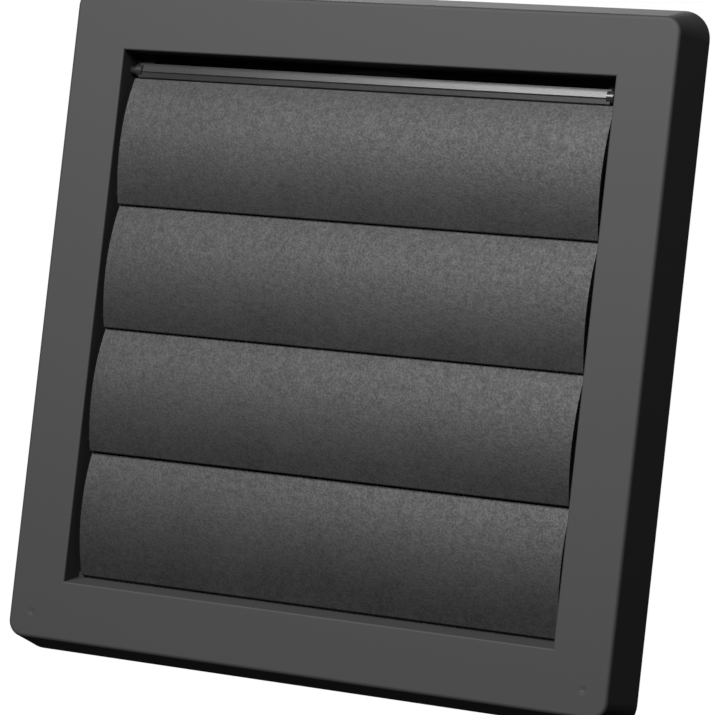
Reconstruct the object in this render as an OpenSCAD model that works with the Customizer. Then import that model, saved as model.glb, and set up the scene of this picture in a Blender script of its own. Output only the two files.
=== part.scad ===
// Square wall outlet with four gravity flaps. Millimetres, +Z up, front faces -Y.
// The origin is the centre of the round spigot in the plane of the wall.

/* [Front cover] */
// Width and height of the cover where it meets the wall
cover_size = 184; // [178:1:194]
// Depth of the cover from the wall to its front face
cover_depth = 12.4; // [12:0.2:16]
// How far each side wall flares out between the front face and the wall
side_flare = 4.2; // [3:0.1:5]
// Rounding between the front face and the side walls
edge_radius = 1.1; // [0.6:0.1:1.5]
// Corner radius of the flat front face
face_corner_radius = 3.4; // [2.4:0.1:5]
// Thickness of the flared side walls
side_wall = 2; // [1.4:0.1:2.4]
// Thickness of the front face
face_wall = 2.2; // [1.6:0.1:2.4]

/* [Opening] */
// Width and height of the square opening
opening_size = 145.3; // [138:0.1:148]
// How far the middle of the opening sits above the middle of the face
opening_lift = 0.2; // [0:0.1:1]
// Rounding of the opening's front edge
opening_edge_radius = 0.5; // [0.2:0.1:0.9]
// Thickness of the return walls round the opening
return_wall = 1.8; // [1.4:0.1:2.4]
// Rise of the sloping sill from its front edge to its stop lip
sill_rise = 1.4; // [0.8:0.1:1.5]
// Thickness of the stop lip behind the last flap
stop_lip = 1.2; // [0.8:0.1:1.6]
// Height of the stop lip above the top of the sill
stop_height = 1.5; // [1:0.1:2.5]
// Width of the stop strips behind the ends of the flaps
side_stop = 5.2; // [3:0.1:6]
// Gap between the stop strips and the turning hinge bars
side_stop_gap = 0.4; // [0.3:0.05:0.8]

/* [Flaps] */
// Depth of the hinge axes behind the front face
hinge_depth = 5.6; // [5.4:0.1:6]
// Distance from the top of the opening down to the first hinge axis
hinge_drop = 4.85; // [4:0.05:6]
// Space between the last flap's lower edge and the bottom of the opening
sill_clearance = 2.05; // [1.9:0.05:3]
// How far a closed flap hangs past the hinge axis of the flap below it
flap_lap = 3.2; // [3:0.1:4]
// Radius of the bowed skin
bow_radius = 48; // [44:1:56]
// Thickness of the bowed skin
skin = 1; // [0.8:0.05:1.2]
// Depth of the skin's foremost line behind the front face
bow_depth = 1; // [0.8:0.1:1.4]
// Gap between a closed flap's lower edge and what it closes on
closed_gap = 0.38; // [0.3:0.02:0.6]
// How much further in the last flap closes, in degrees
last_flap_tilt = 4.5; // [3:0.5:6]
// Gap between a flap's end and the return wall
flap_end_gap = 1.45; // [1:0.05:2]

/* [Hinges] */
// Radius of the pivot pins
pin_radius = 1.1; // [0.8:0.1:1.2]
// Radial clearance of a pin in its bearing
pin_clearance = 0.08; // [0.04:0.02:0.1]
// Radius of the shoulder at the root of a pin
shoulder_radius = 1.7; // [1.4:0.1:1.9]
// Length of the shoulder at the root of a pin
shoulder_length = 0.9; // [0.6:0.1:1.2]
// How far the hinge bar stops short of the flap's end
bar_inset = 1.3; // [1:0.1:1.8]
// Height of the hinge bar above its axis
bar_top = 2; // [1.8:0.1:2.2]
// Height of the bearing bosses outside the return walls
boss_height = 2; // [1.5:0.1:3]
// Radius of the bearing bosses
boss_radius = 2.8; // [2.4:0.1:3]
// Distance from a pin's end to the outer end of its bearing
pin_setback = 0.4; // [0.2:0.1:1]
// Thickness of the web at each end of a flap
end_web = 1.2; // [0.8:0.1:1.6]
// How far the end webs reach down behind the skin
web_reach = 20; // [14:1:26]

/* [Back plate] */
// Thickness of the plate against the wall
plate_thickness = 2; // [1.8:0.1:2.6]
// Gap between the plate's edge and the inside of the cover
plate_gap = 0.35; // [0.2:0.05:0.8]
// Gap between the return walls and the front of the plate
return_gap = 0.2; // [0.1:0.05:0.6]
// Outside diameter of the duct spigot
spigot_diameter = 148; // [140:0.5:150]
// Wall thickness of the duct spigot
spigot_wall = 2; // [1.6:0.1:3]
// Length of the duct spigot behind the wall plane
spigot_length = 32; // [20:1:45]
// Bevel at the end of the duct spigot
spigot_bevel = 1; // [0.6:0.1:1.4]
// Diameter of the screw holes
screw_hole = 4.5; // [3.5:0.1:5]
// Distance between the left and right screw holes
screw_span = 161; // [159:0.5:163]
// Distance between the upper and lower screw holes
screw_rise = 100; // [92:1:108]
// Radius of the raised pad round each screw hole
pad_radius = 4.4; // [4:0.1:4.8]
// Height of the raised pad round each screw hole
pad_height = 0.8; // [0.4:0.1:1.2]

/* [Push-fit posts] */
// Radius of the posts
post_radius = 2.5; // [2:0.1:2.8]
// Distance of each post from the edge of the flat face
post_inset = 6; // [5.5:0.1:6.5]
// Radial clearance of a post in its socket
post_clearance = 0.05; // [0.02:0.01:0.1]
// Wall thickness of the sockets
socket_wall = 1.6; // [1.2:0.1:2]
// Height of the sockets in front of the plate
socket_height = 4; // [3:0.1:5]
// Distance from a post's end to the wall plane
post_setback = 0.6; // [0.4:0.1:1.2]
// Bevel at the end of a post
post_bevel = 0.6; // [0.4:0.1:1]
// Depth of the sink marks that the lower posts leave on the face
sink_depth = 0.12; // [0.05:0.01:0.2]
// Width of those sink marks
sink_width = 2.6; // [1.6:0.1:4]

/* [Hidden] */
$fn = 128;
cut = 1;
black = [0.10, 0.10, 0.105];
flap_black = [0.13, 0.13, 0.135];
plate_black = [0.07, 0.07, 0.075];

// The face lies at depth 0 and the wall at cover_depth. front_y is the face's place on Y.
front_y = -cover_depth;
corner_line = cover_size / 2 - side_flare - face_corner_radius;

// The side wall's outer line runs from the wall to a tangent of the rounded edge.
flare_run = cover_depth - edge_radius;
wall_angle = atan(side_flare / flare_run) - asin(edge_radius / norm([side_flare, flare_run]));
tangent_reach = face_corner_radius + edge_radius * cos(wall_angle);
tangent_depth = edge_radius * (1 - sin(wall_angle));
function outer_reach(depth) = tangent_reach + (depth - tangent_depth) * tan(wall_angle);
function inner_reach(depth) = outer_reach(depth) - side_wall / cos(wall_angle);

opening_half = opening_size / 2;
opening_top = opening_lift + opening_half;
opening_bottom = opening_lift - opening_half;
plate_front = cover_depth - plate_thickness;
return_depth = plate_front - return_gap;

// Four flaps share the height of the opening.
flap_count = 4;
flap_pitch = (opening_size - hinge_drop - sill_clearance - flap_lap) / flap_count;
flap_reach = flap_pitch + flap_lap;
flap_half = opening_half - flap_end_gap;
bar_half = flap_half - bar_inset;
hinge_y = front_y + hinge_depth;
function hinge_z(i) = opening_top - hinge_drop - i * flap_pitch;
function flap_tilt(i) = i == flap_count - 1 ? last_flap_tilt : 0;

// In a flap's own section, y is measured back and z up from its hinge axis.
// The bow's foremost line is set so that each lower edge clears the next flap by closed_gap.
lip_slope = asin(flap_pitch / 2 / bow_radius);
bow_z = -(flap_lap + flap_reach - skin) / 2
    - bow_radius * (skin / cos(lip_slope) + closed_gap) / flap_pitch;
bow_y = bow_depth + bow_radius - hinge_depth;
function skin_y(z, r) = bow_y - sqrt(r * r - (z - bow_z) * (z - bow_z));
inner_radius = bow_radius - skin;
lip_angle = asin((flap_reach - skin / 2 + bow_z) / (bow_radius - skin / 2));
lip_y = bow_y - (bow_radius - skin / 2) * cos(lip_angle);
lip_z = bow_z - (bow_radius - skin / 2) * sin(lip_angle);

// The hinge bar: a slanted upper band, a groove and a lower band that meets the skin.
bar_front = -1.2;
bar_back = 1.4;
band_split = -0.45;
groove_depth = 0.22;
crease_z = -2.15;
band_foot = crease_z + 0.3;
band_slant = 0.65;
bar_round = 0.4;
web_foot = -web_reach;

// The hinge bar's farthest corner sweeps past the stop strips.
bar_sweep = norm([bar_back - bar_round, bar_top]);
side_stop_front = hinge_depth + bar_sweep + side_stop_gap;

// The last flap's lower edge, turned in by its tilt, places the stop lip.
last_lip_y = lip_y * cos(last_flap_tilt) - lip_z * sin(last_flap_tilt);
stop_front = hinge_depth + last_lip_y + skin / 2 + closed_gap;
sill_top = opening_bottom + sill_rise;

boss_end = opening_half + return_wall + boss_height;
pin_end = boss_end - pin_setback;
spigot_radius = spigot_diameter / 2;
post_place = cover_size / 2 - side_flare - post_inset;
plate_reach = inner_reach(plate_front) - plate_gap;

// Places a section drawn with x back and y up, and runs it along X, centred.
module run_x(length) {
    rotate([90, 0, 90])
        translate([0, 0, -length / 2])
            linear_extrude(length)
                children();
}

// Lays what is drawn with depth along +Z so that the depth runs back from the face.
module from_face() {
    translate([0, front_y, 0])
        rotate([-90, 0, 0])
            children();
}

// The outer outline of a side wall: x reaches out from the corner line, y is depth.
module wall_outline() {
    polygon([
        [0, 0],
        [face_corner_radius, 0],
        [tangent_reach, tangent_depth],
        [outer_reach(cover_depth), cover_depth],
        [0, cover_depth]
    ]);
    translate([face_corner_radius, edge_radius])
        circle(edge_radius);
}

// The inside of the same wall, open at the back.
module cavity_outline() {
    polygon([
        [0, face_wall],
        [inner_reach(face_wall), face_wall],
        [inner_reach(cover_depth + cut), cover_depth + cut],
        [0, cover_depth + cut]
    ]);
}

// Sweeps a side outline round a square with rounded corners and fills its middle.
module rounded_block(low, high) {
    for (turn = [0:90:270])
        rotate([0, 0, turn]) {
            translate([corner_line, corner_line, 0])
                rotate_extrude(angle = 90)
                    children();
            translate([corner_line, corner_line, 0])
                rotate([90, 0, 0])
                    linear_extrude(2 * corner_line)
                        children();
        }
    translate([-corner_line, -corner_line, low])
        cube([2 * corner_line, 2 * corner_line, high - low]);
}

// One pair of opposite opening edges: a slot that widens into the rounding at the face.
module slot_outline(low, high) {
    translate([low, -cut])
        square([high - low, cover_depth + 2 * cut]);
    difference() {
        translate([low - opening_edge_radius, -cut])
            square([high - low + 2 * opening_edge_radius, cut + opening_edge_radius]);
        translate([low - opening_edge_radius, opening_edge_radius])
            circle(opening_edge_radius);
        translate([high + opening_edge_radius, opening_edge_radius])
            circle(opening_edge_radius);
    }
}

// The square opening with its rounded front edge.
module opening_cut() {
    intersection() {
        translate([0, front_y, cover_size / 2])
            mirror([0, 0, 1])
                linear_extrude(cover_size)
                    slot_outline(-opening_half, opening_half);
        rotate([0, 90, 0])
            translate([0, front_y, -cover_size / 2])
                linear_extrude(cover_size)
                    slot_outline(-opening_top, -opening_bottom);
    }
}

// Return walls round the opening, from inside the face to just short of the plate.
module return_walls() {
    start = face_wall / 2;
    translate([
        -opening_half - return_wall,
        front_y + start,
        opening_bottom - return_wall
    ])
        cube([
            opening_size + 2 * return_wall,
            return_depth - start,
            opening_size + 2 * return_wall
        ]);
}

// The sill slopes down to the front and ends in the lip that stops the last flap.
module sill() {
    translate([0, front_y, 0])
        run_x(opening_size + return_wall)
            polygon([
                [opening_edge_radius, opening_bottom - return_wall / 2],
                [opening_edge_radius, opening_bottom],
                [stop_front - closed_gap, sill_top],
                [stop_front, sill_top],
                [stop_front, sill_top + stop_height],
                [stop_front + stop_lip, sill_top + stop_height],
                [stop_front + stop_lip, opening_bottom - return_wall / 2]
            ]);
}

// Strips at the back of the return walls, which close the gaps beside the flaps.
module side_stops() {
    for (side = [0, 1])
        mirror([side, 0, 0])
            translate([opening_half - side_stop, front_y + side_stop_front, opening_bottom - return_wall / 2])
                cube([
                    side_stop + return_wall / 2,
                    return_depth - side_stop_front,
                    opening_size + return_wall
                ]);
}

// A cylinder along X on the hinge axis of flap i, mirrored to both sides of the opening.
module hinge_rounds(i, radius, from, to) {
    for (side = [0, 1])
        mirror([side, 0, 0])
            translate([from, hinge_y, hinge_z(i)])
                rotate([0, 90, 0])
                    cylinder(h = to - from, r = radius);
}

// Push-fit post with a bevelled end.
module post() {
    straight = cover_depth - post_setback - post_bevel;
    translate([0, 0, face_wall / 2])
        cylinder(h = straight - face_wall / 2, r = post_radius);
    translate([0, 0, straight])
        cylinder(h = post_bevel, r1 = post_radius, r2 = post_radius - post_bevel);
}

// Shallow sink mark, a slice of a large ball.
module sink_mark() {
    ball = (sink_width * sink_width / 4 + sink_depth * sink_depth) / (2 * sink_depth);
    translate([0, 0, sink_depth - ball])
        sphere(ball);
}

module front_cover() {
    color(black)
        difference() {
            union() {
                difference() {
                    from_face()
                        rounded_block(0, cover_depth)
                            wall_outline();
                    from_face()
                        rounded_block(face_wall, cover_depth + cut)
                            cavity_outline();
                }
                return_walls();
                for (i = [0:flap_count - 1])
                    hinge_rounds(i, boss_radius, opening_half + return_wall / 2, boss_end);
                for (x = [-post_place, post_place], z = [-post_place, post_place])
                    translate([x, 0, z])
                        from_face()
                            post();
            }
            difference() {
                opening_cut();
                sill();
                side_stops();
            }
            for (i = [0:flap_count - 1])
                hinge_rounds(i, pin_radius + pin_clearance, opening_half - cut, boss_end + cut);
            for (x = [-post_place, post_place])
                translate([x, 0, -post_place])
                    from_face()
                        sink_mark();
        }
}

// The plate's edge, seen like the side walls' outlines.
module plate_outline() {
    translate([0, plate_front])
        square([plate_reach, plate_thickness]);
}

module spigot() {
    straight = spigot_length - spigot_bevel;
    translate([0, -plate_thickness / 2, 0])
        rotate([-90, 0, 0])
            cylinder(h = straight + plate_thickness / 2, r = spigot_radius);
    translate([0, straight, 0])
        rotate([-90, 0, 0])
            cylinder(h = spigot_bevel, r1 = spigot_radius, r2 = spigot_radius - spigot_bevel);
}

module back_plate() {
    color(plate_black)
        difference() {
            union() {
                from_face()
                    rounded_block(plate_front, cover_depth)
                        plate_outline();
                spigot();
                for (x = [-post_place, post_place], z = [-post_place, post_place])
                    translate([x, -plate_thickness - socket_height, z])
                        rotate([-90, 0, 0])
                            cylinder(
                                h = socket_height + plate_thickness / 2,
                                r = post_radius + post_clearance + socket_wall
                            );
                for (x = [-screw_span / 2, screw_span / 2], z = [-screw_rise / 2, screw_rise / 2])
                    translate([x, -plate_thickness - pad_height, z])
                        rotate([-90, 0, 0])
                            cylinder(h = pad_height + plate_thickness / 2, r = pad_radius);
            }
            translate([0, -plate_thickness - cut, 0])
                rotate([-90, 0, 0])
                    cylinder(
                        h = plate_thickness + spigot_length + 2 * cut,
                        r = spigot_radius - spigot_wall
                    );
            for (x = [-post_place, post_place], z = [-post_place, post_place])
                translate([x, -plate_thickness - socket_height - cut, z])
                    rotate([-90, 0, 0])
                        cylinder(
                            h = plate_thickness + socket_height + 2 * cut,
                            r = post_radius + post_clearance
                        );
            for (x = [-screw_span / 2, screw_span / 2], z = [-screw_rise / 2, screw_rise / 2])
                translate([x, -plate_thickness - pad_height - cut, z])
                    rotate([-90, 0, 0])
                        cylinder(h = plate_thickness + pad_height + 2 * cut, d = screw_hole);
        }
}

// The bowed skin: a strip of ring between the crease and the rounded lower edge.
module skin_section() {
    difference() {
        intersection() {
            translate([bow_y, bow_z])
                circle(bow_radius);
            polygon([
                [bar_front - bow_radius / 8, crease_z],
                [bar_back, crease_z],
                [bar_back, bow_z],
                [bow_y, bow_z],
                [bow_y - bow_radius * cos(lip_angle), bow_z - bow_radius * sin(lip_angle)],
                [bar_front - bow_radius / 8, bow_z - bow_radius * sin(lip_angle)]
            ]);
        }
        translate([bow_y, bow_z])
            circle(inner_radius);
    }
    translate([lip_y, lip_z])
        circle(skin / 2);
}

// The hinge bar with its two bands.
module bar_section() {
    polygon([
        [bar_front + band_slant, bar_top],
        [bar_back - bar_round, bar_top],
        [bar_back, bar_top - bar_round],
        [bar_back, crease_z],
        [skin_y(crease_z, bow_radius) + skin / 2, crease_z - skin],
        [skin_y(crease_z, bow_radius) + skin / 4, crease_z],
        [bar_front, band_foot],
        [bar_front, band_split - groove_depth],
        [bar_front + groove_depth, band_split],
        [bar_front, band_split + groove_depth]
    ]);
}

// The web that closes each end of a flap behind its skin.
module web_section() {
    intersection() {
        polygon([
            [bar_front, crease_z],
            [bar_back, crease_z],
            [skin_y(web_foot, inner_radius), web_foot],
            [skin_y(web_foot, bow_radius), web_foot],
            [bow_depth - hinge_depth, bow_z]
        ]);
        translate([bow_y, bow_z])
            circle(bow_radius - skin / 2);
    }
}

module flap_moulding() {
    run_x(2 * flap_half)
        skin_section();
    run_x(2 * bar_half)
        bar_section();
    for (side = [0, 1])
        mirror([side, 0, 0]) {
            translate([flap_half - end_web / 2, 0, 0])
                run_x(end_web)
                    web_section();
            translate([bar_half - cut, 0, 0])
                rotate([0, 90, 0])
                    cylinder(h = cut + shoulder_length, r = shoulder_radius);
            translate([bar_half - cut, 0, 0])
                rotate([0, 90, 0])
                    cylinder(h = pin_end - bar_half + cut, r = pin_radius);
        }
}

// Flap i, counted down from the top, hung on its hinge axis.
module flap(i) {
    color(flap_black)
        translate([0, hinge_y, hinge_z(i)])
            rotate([flap_tilt(i), 0, 0])
                flap_moulding();
}

front_cover();
back_plate();
flap(0);  // flap_1
flap(1);  // flap_2
flap(2);  // flap_3
flap(3);  // flap_4
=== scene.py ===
"""Scene of a square wall outlet with four gravity flaps: finishes, studio and camera."""

import logging
import math
from dataclasses import dataclass, field
from enum import Enum

import bmesh
import bpy
from mathutils import Matrix, Vector


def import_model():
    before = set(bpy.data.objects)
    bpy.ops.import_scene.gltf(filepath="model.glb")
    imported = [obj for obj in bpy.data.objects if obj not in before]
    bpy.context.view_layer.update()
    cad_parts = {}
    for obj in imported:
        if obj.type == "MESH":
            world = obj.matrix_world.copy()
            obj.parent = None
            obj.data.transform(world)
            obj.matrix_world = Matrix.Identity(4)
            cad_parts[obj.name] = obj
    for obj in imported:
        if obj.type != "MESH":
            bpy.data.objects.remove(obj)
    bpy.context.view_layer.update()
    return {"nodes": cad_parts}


log = logging.getLogger("vent_grille")

MM = 0.001

GRAIN_SLOW_SHARE = 0.31
GRAIN_FINE_WEIGHT = 0.7
FLECK_LOW = 0.36
FLECK_HIGH = 0.64
ROUGHNESS_SWING = 0.06
SMOOTH_RELIEF = 0.08
OPENING_LIFT = 0.2 * MM
EDGE_BLEND = 0.1 * MM
BAR_FOOT = 2.2 * MM
FACE_TURN_START = -0.75
FACE_TURN_END = -0.95

SENSOR_WIDTH = 36.0
PICTURE_WIDTH = 715.0
FOCAL_PIXELS = 3452.29


def group_socket(
    group: bpy.types.NodeTree, name: str, way: str, kind: str, value: float | None = None
) -> None:
    """Adds a named socket to a node group.

    Args:
        group: The node group that gets the socket.
        name: The socket's name.
        way: "INPUT" or "OUTPUT".
        kind: The socket's type, such as "NodeSocketFloat".
        value: The default value of an input.
    """
    socket = group.interface.new_socket(name=name, in_out=way, socket_type=kind)
    if value is not None:
        socket.default_value = value


def add_math(
    tree: bpy.types.NodeTree, operation: str, first: object, second: object, clamp: bool = False
) -> bpy.types.NodeSocket:
    """Adds a Math node.

    Args:
        tree: The node tree it goes into.
        operation: The node's operation, such as "MULTIPLY".
        first: A socket or a number.
        second: A socket or a number.
        clamp: Whether the result is kept between 0 and 1.

    Returns:
        The node's output socket.
    """
    node = tree.nodes.new("ShaderNodeMath")
    node.operation = operation
    node.use_clamp = clamp
    for place, value in enumerate((first, second)):
        if isinstance(value, bpy.types.NodeSocket):
            tree.links.new(value, node.inputs[place])
        else:
            node.inputs[place].default_value = value
    return node.outputs[0]


def eroded_grain_group() -> bpy.types.NodeTree:
    """Builds the group for the fine pitted grain of an eroded mould.

    Returns:
        A node group with the inputs Vector, Cell and Depth and the outputs Height and Fleck,
        which runs from -1 in the pits to 1 on the high spots.
    """
    group = bpy.data.node_groups.new("eroded_grain", "ShaderNodeTree")
    group_socket(group, "Vector", "INPUT", "NodeSocketVector")
    group_socket(group, "Cell", "INPUT", "NodeSocketFloat", 2200.0)
    group_socket(group, "Depth", "INPUT", "NodeSocketFloat", 1.0)
    group_socket(group, "Height", "OUTPUT", "NodeSocketFloat")
    group_socket(group, "Fleck", "OUTPUT", "NodeSocketFloat")
    inside = group.nodes.new("NodeGroupInput")
    outside = group.nodes.new("NodeGroupOutput")
    fine = group.nodes.new("ShaderNodeTexNoise")
    fine.inputs["Detail"].default_value = 2.0
    fine.inputs["Roughness"].default_value = 0.55
    group.links.new(inside.outputs["Vector"], fine.inputs["Vector"])
    group.links.new(inside.outputs["Cell"], fine.inputs["Scale"])
    coarse = group.nodes.new("ShaderNodeTexNoise")
    coarse.inputs["Detail"].default_value = 1.0
    group.links.new(inside.outputs["Vector"], coarse.inputs["Vector"])
    slow = add_math(group, "MULTIPLY", inside.outputs["Cell"], GRAIN_SLOW_SHARE)
    group.links.new(slow, coarse.inputs["Scale"])
    blend = add_math(
        group,
        "ADD",
        add_math(group, "MULTIPLY", fine.outputs["Fac"], GRAIN_FINE_WEIGHT),
        add_math(group, "MULTIPLY", coarse.outputs["Fac"], 1.0 - GRAIN_FINE_WEIGHT),
    )
    group.links.new(
        add_math(group, "MULTIPLY", blend, inside.outputs["Depth"]), outside.inputs["Height"]
    )
    fleck = group.nodes.new("ShaderNodeMapRange")
    fleck.inputs["From Min"].default_value = FLECK_LOW
    fleck.inputs["From Max"].default_value = FLECK_HIGH
    fleck.inputs["To Min"].default_value = -1.0
    fleck.inputs["To Max"].default_value = 1.0
    group.links.new(blend, fleck.inputs["Value"])
    group.links.new(fleck.outputs["Result"], outside.inputs["Fleck"])
    return group


def cloudy_tone_group() -> bpy.types.NodeTree:
    """Builds the group for the faint cloudiness of moulded plastic.

    Returns:
        A node group with the inputs Vector, Patch and Amount and the output Tone around 1.
    """
    group = bpy.data.node_groups.new("cloudy_tone", "ShaderNodeTree")
    group_socket(group, "Vector", "INPUT", "NodeSocketVector")
    group_socket(group, "Patch", "INPUT", "NodeSocketFloat", 60.0)
    group_socket(group, "Amount", "INPUT", "NodeSocketFloat", 0.1)
    group_socket(group, "Tone", "OUTPUT", "NodeSocketFloat")
    inside = group.nodes.new("NodeGroupInput")
    outside = group.nodes.new("NodeGroupOutput")
    cloud = group.nodes.new("ShaderNodeTexNoise")
    cloud.inputs["Detail"].default_value = 4.0
    cloud.inputs["Roughness"].default_value = 0.6
    group.links.new(inside.outputs["Vector"], cloud.inputs["Vector"])
    group.links.new(inside.outputs["Patch"], cloud.inputs["Scale"])
    centred = add_math(group, "SUBTRACT", cloud.outputs["Fac"], 0.5)
    swing = add_math(group, "MULTIPLY", centred, inside.outputs["Amount"])
    group.links.new(add_math(group, "ADD", swing, 1.0), outside.inputs["Tone"])
    return group


class Zone(Enum):
    """Where a moulding is left smooth instead of grained."""

    NOWHERE = "nowhere"
    WALLS = "walls"
    HINGE_BAR = "hinge_bar"


@dataclass(frozen=True)
class PlasticFinish:
    """A black moulded plastic.

    Attributes:
        name: The material's name.
        colour: Its linear colour.
        roughness: Roughness of the grained surfaces.
        smooth_roughness: Roughness of the smooth zone.
        specular: The specular level.
        cell: Grains per metre.
        bump: Height of the grain in metres.
        fleck: How far the tone of pits and high spots is from the mean.
        cloud: Strength of the slow change of tone.
        zone: Which part is smooth.
        hinge_height: Height of the hinge axis of a flap, in metres.
        recess_half: Half the width of the opening whose inside is darkened by painted shade, in
            metres.
        recess_shade_level: How bright the painted shade leaves that inside, in colour and
            specular, against the face.
    """

    name: str
    colour: tuple[float, float, float]
    roughness: float
    smooth_roughness: float = 0.24
    specular: float = 0.511
    cell: float = 1700.0
    bump: float = 0.0001
    fleck: float = 0.5
    cloud: float = 0.8
    zone: Zone = Zone.NOWHERE
    hinge_height: float = 0.0
    recess_half: float = 0.2
    recess_shade_level: float = 1.0

    def build(self) -> bpy.types.Material:
        """Builds the material.

        Returns:
            The finished material.
        """
        material = bpy.data.materials.new(self.name)
        material.use_nodes = True
        tree = material.node_tree
        shader = tree.nodes["Principled BSDF"]
        coordinates = tree.nodes.new("ShaderNodeTexCoord")
        place = coordinates.outputs["Object"]
        grained = self.grained_mask(tree, coordinates)

        tone = tree.nodes.new("ShaderNodeGroup")
        tone.node_tree = bpy.data.node_groups["cloudy_tone"]
        tone.inputs["Amount"].default_value = self.cloud
        tree.links.new(place, tone.inputs["Vector"])

        grain = tree.nodes.new("ShaderNodeGroup")
        grain.node_tree = bpy.data.node_groups["eroded_grain"]
        grain.inputs["Cell"].default_value = self.cell
        tree.links.new(place, grain.inputs["Vector"])
        fleck = add_math(tree, "MULTIPLY", grain.outputs["Fleck"], grained)

        # Painted shade: colour and specular are dimmed inside the square opening.
        recess_shade = self.painted_recess_shade(tree, coordinates)
        paler = add_math(tree, "MULTIPLY", fleck, self.fleck)
        shade = add_math(tree, "ADD", tone.outputs["Tone"], paler)
        tint = tree.nodes.new("ShaderNodeVectorMath")
        tint.operation = "SCALE"
        tint.inputs[0].default_value = self.colour
        tree.links.new(add_math(tree, "MULTIPLY", shade, recess_shade), tint.inputs["Scale"])
        tree.links.new(tint.outputs["Vector"], shader.inputs["Base Color"])

        span = self.roughness - self.smooth_roughness
        rough = add_math(
            tree, "ADD", add_math(tree, "MULTIPLY", grained, span), self.smooth_roughness
        )
        swing = add_math(tree, "MULTIPLY", fleck, ROUGHNESS_SWING)
        tree.links.new(
            add_math(tree, "SUBTRACT", rough, swing, clamp=True), shader.inputs["Roughness"]
        )
        # The painted shade also weakens the specular reflection inside the opening.
        tree.links.new(
            add_math(tree, "MULTIPLY", recess_shade, self.specular), shader.inputs["Specular IOR Level"]
        )

        bump = tree.nodes.new("ShaderNodeBump")
        bump.inputs["Strength"].default_value = 1.0
        bump.inputs["Distance"].default_value = self.bump
        relief = add_math(tree, "MAXIMUM", grained, SMOOTH_RELIEF)
        height = add_math(tree, "MULTIPLY", grain.outputs["Height"], relief)
        tree.links.new(height, bump.inputs["Height"])
        tree.links.new(bump.outputs["Normal"], shader.inputs["Normal"])
        return material

    def painted_recess_shade(
        self, tree: bpy.types.NodeTree, coordinates: bpy.types.Node
    ) -> bpy.types.NodeSocket:
        """Builds the painted shade that darkens the colour and specular inside the square
        opening.

        Args:
            tree: The material's tree.
            coordinates: Its Texture Coordinate node.

        Returns:
            A socket that is 1 outside the opening and the painted shade's level inside it.
        """
        split = tree.nodes.new("ShaderNodeSeparateXYZ")
        tree.links.new(coordinates.outputs["Object"], split.inputs["Vector"])
        lifted = add_math(tree, "SUBTRACT", split.outputs["Z"], OPENING_LIFT)
        across = add_math(tree, "ABSOLUTE", split.outputs["X"], 0.0)
        upward = add_math(tree, "ABSOLUTE", lifted, 0.0)
        step = tree.nodes.new("ShaderNodeMapRange")
        tree.links.new(add_math(tree, "MAXIMUM", across, upward), step.inputs["Value"])
        step.inputs["From Min"].default_value = self.recess_half - EDGE_BLEND
        step.inputs["From Max"].default_value = self.recess_half + EDGE_BLEND
        step.inputs["To Min"].default_value = self.recess_shade_level
        return step.outputs["Result"]

    def grained_mask(
        self, tree: bpy.types.NodeTree, coordinates: bpy.types.Node
    ) -> bpy.types.NodeSocket:
        """Builds the mask of the grained surfaces.

        Args:
            tree: The material's tree.
            coordinates: Its Texture Coordinate node.

        Returns:
            A socket that is 1 where the plastic is grained and 0 where it is smooth.
        """
        split = tree.nodes.new("ShaderNodeSeparateXYZ")
        step = tree.nodes.new("ShaderNodeMapRange")
        if self.zone is Zone.HINGE_BAR:
            tree.links.new(coordinates.outputs["Object"], split.inputs["Vector"])
            tree.links.new(split.outputs["Z"], step.inputs["Value"])
            step.inputs["From Min"].default_value = self.hinge_height - BAR_FOOT + EDGE_BLEND
            step.inputs["From Max"].default_value = self.hinge_height - BAR_FOOT - EDGE_BLEND
        else:
            tree.links.new(coordinates.outputs["Normal"], split.inputs["Vector"])
            tree.links.new(split.outputs["Y"], step.inputs["Value"])
            step.inputs["From Min"].default_value = FACE_TURN_START
            step.inputs["From Max"].default_value = FACE_TURN_END
        if self.zone is Zone.NOWHERE:
            step.inputs["To Min"].default_value = 1.0
        return step.outputs["Result"]


COVER_PLASTIC = PlasticFinish(
    "cover_plastic",
    (0.0195, 0.0194, 0.0202),
    roughness=0.608,
    zone=Zone.WALLS,
    recess_half=72.85 * MM,
    # Painted shade: the opening's inside keeps 0.3 of the face's colour and specular.
    recess_shade_level=0.3,
)
PLATE_PLASTIC = PlasticFinish(
    "plate_plastic", (0.018, 0.018, 0.019), roughness=0.45, cell=900.0, bump=0.00002, fleck=0.1
)


@dataclass
class Housing:
    """The cover and the plate behind it.

    Attributes:
        cover: The cover's name.
        plate: The plate's name.
    """

    cover: str = "front_cover"
    plate: str = "back_plate"

    def dress(self, nodes: dict[str, bpy.types.Object]) -> None:
        """Gives both mouldings their finish.

        Args:
            nodes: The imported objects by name.
        """
        for name, finish in ((self.cover, COVER_PLASTIC), (self.plate, PLATE_PLASTIC)):
            wear(nodes[name], finish)


@dataclass
class FlapBank:
    """The four flaps, counted down from the top.

    Attributes:
        count: How many there are.
        top_axis: Height of the first hinge axis, in metres.
        pitch: Distance between the axes, in metres.
        colour: The flaps' linear colour.
        roughness: Roughness of their grained skins.
    """

    count: int = 4
    top_axis: float = 68.0 * MM
    pitch: float = 33.8 * MM
    colour: tuple[float, float, float] = (0.0194, 0.0194, 0.0194)
    roughness: float = 0.608

    def finish(self, number: int) -> PlasticFinish:
        """Works out a flap's finish.

        Args:
            number: The flap, counted down from 1.

        Returns:
            Its plastic, smooth on its own hinge bar.
        """
        return PlasticFinish(
            f"flap_plastic_{number}",
            self.colour,
            roughness=self.roughness,
            zone=Zone.HINGE_BAR,
            hinge_height=self.top_axis - (number - 1) * self.pitch,
        )

    def dress(self, nodes: dict[str, bpy.types.Object]) -> None:
        """Gives each flap its finish.

        Args:
            nodes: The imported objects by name.
        """
        for number in range(1, self.count + 1):
            wear(nodes[f"flap_{number}"], self.finish(number))


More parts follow.
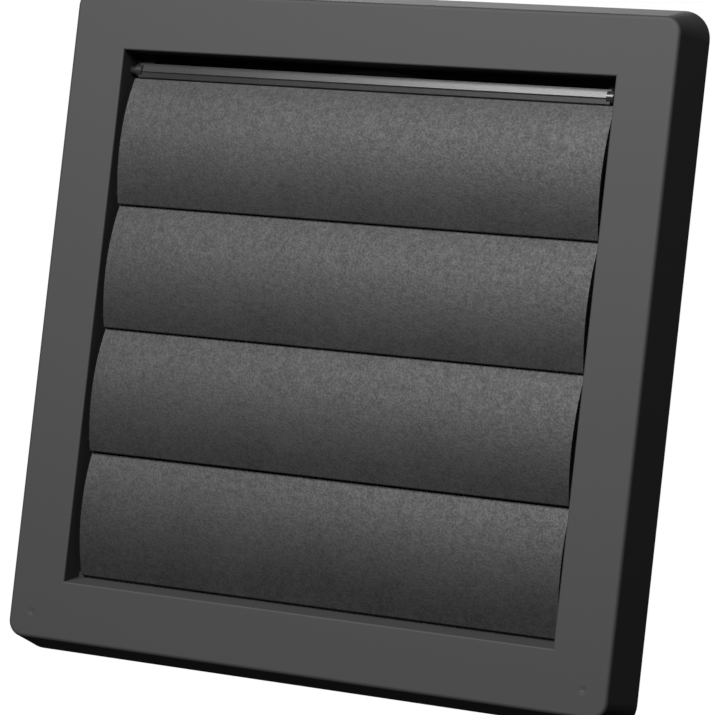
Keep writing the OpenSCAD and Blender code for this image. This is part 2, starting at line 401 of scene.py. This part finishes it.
def wear(piece: bpy.types.Object, finish: PlasticFinish) -> None:
    """Puts a finish on a packed object.

    Args:
        piece: The object.
        finish: Its finish.
    """
    material = bpy.data.materials.get(finish.name) or finish.build()
    for slot in piece.material_slots:
        slot.material = material
    log.info("piece %s wears %s", piece.name, finish.name)


@dataclass
class SoftBox:
    """A soft rectangular lamp aimed at a point.

    Attributes:
        name: The lamp's name.
        place: Where its middle hangs, in metres.
        target: The point it faces, in metres.
        width: Its width in metres.
        height: Its height in metres.
        power: Its power in watts.
        colour: Its linear colour.
    """

    name: str
    place: tuple[float, float, float]
    target: tuple[float, float, float]
    width: float
    height: float
    power: float
    colour: tuple[float, float, float] = (1.0, 1.0, 1.0)

    def build(self) -> None:
        """Hangs the lamp."""
        data = bpy.data.lights.new(self.name, "AREA")
        data.shape = "RECTANGLE"
        data.size = self.width
        data.size_y = self.height
        data.energy = self.power
        data.color = self.colour
        lamp = bpy.data.objects.new(self.name, data)
        bpy.context.scene.collection.objects.link(lamp)
        lamp.location = self.place
        aim = Vector(self.target) - Vector(self.place)
        lamp.rotation_euler = aim.to_track_quat("-Z", "Y").to_euler()


@dataclass
class Studio:
    """A pale floor under white surroundings, lit from the upper front and dimly from behind.

    Attributes:
        floor_half: Half the floor's width, in metres.
        floor_height: The floor's height, in metres.
        floor_glow: How much the floor glows to the camera.
        ambient: Level of the surroundings for matte light.
        sheen_level: Level of the surroundings in reflections.
        lamps: The lamps.
    """

    floor_half: float = 1.5
    floor_height: float = -0.34
    floor_glow: float = 0.75
    ambient: float = 0.005
    sheen_level: float = 0.01
    lamps: list[SoftBox] = field(
        default_factory=lambda: [
            SoftBox(
                name="key_lamp",
                place=(-0.075, -0.732, 0.432),
                target=(0.0, 0.0, 0.02),
                width=0.609,
                height=0.368,
                power=13.4,
                colour=(1.004, 1.0, 1.026),
            ),
            SoftBox(
                name="back_fill",
                place=(-0.55, 0.85, 0.45),
                target=(0.0, 0.02, 0.0),
                width=0.6,
                height=0.6,
                power=7.0,
            ),
        ]
    )

    def build(self) -> None:
        """Builds the floor, the surroundings and the lamps."""
        self.build_floor()
        self.build_surroundings()
        for lamp in self.lamps:
            lamp.build()

    def build_floor(self) -> None:
        """Lays the floor, white to the camera except where the object shades it."""
        mesh = bpy.data.meshes.new("floor")
        shape = bmesh.new()
        bmesh.ops.create_grid(
            shape,
            x_segments=1,
            y_segments=1,
            size=self.floor_half,
            matrix=Matrix.Translation((0.0, 0.0, self.floor_height)),
        )
        shape.to_mesh(mesh)
        shape.free()
        floor = bpy.data.objects.new("floor", mesh)
        bpy.context.scene.collection.objects.link(floor)
        floor.data.materials.append(self.floor_paint())

    def floor_paint(self) -> bpy.types.Material:
        """Builds the floor's paint.

        Returns:
            A material that is pale to the camera and dim to the object's sheen.
        """
        material = bpy.data.materials.new("pale_floor")
        material.use_nodes = True
        tree = material.node_tree
        shader = tree.nodes["Principled BSDF"]
        shader.inputs["Base Color"].default_value = (0.85, 0.85, 0.85, 1.0)
        shader.inputs["Roughness"].default_value = 0.9
        shader.inputs["Emission Color"].default_value = (1.0, 1.0, 1.0, 1.0)
        shader.inputs["Emission Strength"].default_value = self.floor_glow
        dim = tree.nodes.new("ShaderNodeBsdfDiffuse")
        dim.inputs["Color"].default_value = (0.04, 0.04, 0.04, 1.0)
        path = tree.nodes.new("ShaderNodeLightPath")
        seen = add_math(
            tree, "MAXIMUM", path.outputs["Is Camera Ray"], path.outputs["Is Transmission Ray"]
        )
        mix = tree.nodes.new("ShaderNodeMixShader")
        tree.links.new(seen, mix.inputs["Fac"])
        tree.links.new(dim.outputs["BSDF"], mix.inputs[1])
        tree.links.new(shader.outputs["BSDF"], mix.inputs[2])
        tree.links.new(mix.outputs["Shader"], tree.nodes["Material Output"].inputs["Surface"])
        return material

    def build_surroundings(self) -> None:
        """Makes the world white to the camera and dim to the object."""
        world = bpy.data.worlds.new("surroundings")
        world.use_nodes = True
        bpy.context.scene.world = world
        tree = world.node_tree
        background = tree.nodes["Background"]
        path = tree.nodes.new("ShaderNodeLightPath")
        seen = add_math(
            tree, "MAXIMUM", path.outputs["Is Camera Ray"], path.outputs["Is Transmission Ray"]
        )
        sheen = add_math(tree, "MULTIPLY", path.outputs["Is Glossy Ray"], self.sheen_level)
        dim = add_math(tree, "MAXIMUM", sheen, self.ambient)
        level = add_math(tree, "MAXIMUM", seen, dim)
        background.inputs["Color"].default_value = (1.0, 1.0, 1.0, 1.0)
        tree.links.new(level, background.inputs["Strength"])


@dataclass
class PhotoCamera:
    """The camera at the photograph's place.

    Attributes:
        place: Where it stands, in metres.
        yaw: Turn to the left of straight ahead, in degrees.
        pitch: Tilt down, in degrees.
        roll: Roll of the picture, in degrees.
        focal: Focal length in image widths.
    """

    place: tuple[float, float, float] = (0.41839, -0.81278, -0.02738)
    yaw: float = 27.11
    pitch: float = -1.47
    roll: float = -6.36
    focal: float = FOCAL_PIXELS / PICTURE_WIDTH

    def build(self) -> None:
        """Sets up the camera."""
        yaw, pitch, roll = (math.radians(v) for v in (self.yaw, self.pitch, self.roll))
        ahead = Vector(
            (-math.sin(yaw) * math.cos(pitch), math.cos(yaw) * math.cos(pitch), -math.sin(pitch))
        )
        level = Vector((math.cos(yaw), math.sin(yaw), 0.0))
        down = ahead.cross(level)
        right = level * math.cos(roll) + down * math.sin(roll)
        up = level * math.sin(roll) - down * math.cos(roll)
        data = bpy.data.cameras.new("photo_camera")
        data.sensor_fit = "HORIZONTAL"
        data.sensor_width = SENSOR_WIDTH
        data.lens = self.focal * data.sensor_width
        data.clip_start = 0.01
        camera = bpy.data.objects.new("photo_camera", data)
        bpy.context.scene.collection.objects.link(camera)
        turn = Matrix((right, up, -ahead)).transposed().to_4x4()
        camera.matrix_world = Matrix.Translation(self.place) @ turn
        bpy.context.scene.camera = camera


def main() -> None:
    """Builds the scene."""
    logging.basicConfig(level=logging.INFO, format="%(message)s")
    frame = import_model()
    bpy.context.scene.view_settings.view_transform = "Standard"
    eroded_grain_group()
    cloudy_tone_group()
    Housing().dress(frame["nodes"])
    FlapBank().dress(frame["nodes"])
    Studio().build()
    PhotoCamera().build()


if __name__ == "__main__":
    main()
